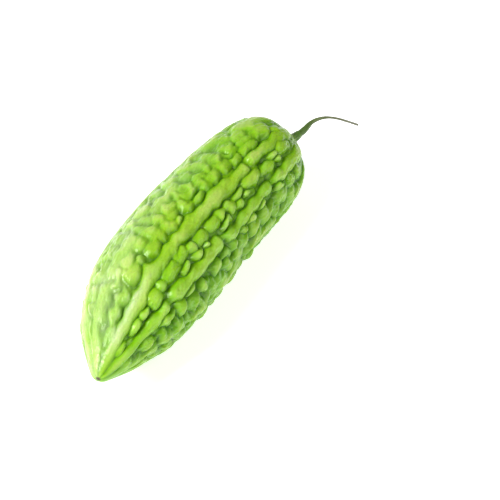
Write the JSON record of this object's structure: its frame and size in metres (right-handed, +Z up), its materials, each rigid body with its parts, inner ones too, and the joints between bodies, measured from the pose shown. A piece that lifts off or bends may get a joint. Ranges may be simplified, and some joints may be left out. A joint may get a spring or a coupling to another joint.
{
  "type": "bitter gourd",
  "caption": "Whole bitter gourd as picked, lying on its side: a ridged, warty green fruit with a blunt pointed tip, and its thin drooping stem.",
  "frame": {"origin": "on the flat underside of the fruit, under its weight, on the surface that it lies on", "axes": "+X from the blossom tip to the stem end, +Z up, +Y towards the side that the fruit bows to"},
  "size_m": [0.2671, 0.0793, 0.0688],
  "materials": {
    "gourd_skin": "waxy, softly glossy green skin, deeper green in the creases and paler on the ridges",
    "gourd_stem": "matt green at the fruit, drying to grey-brown at the cut end"
  },
  "bodies": {
    "root": {"fruit": "gourd_skin", "stem": "gourd_stem"}
  },
  "joints": []
}
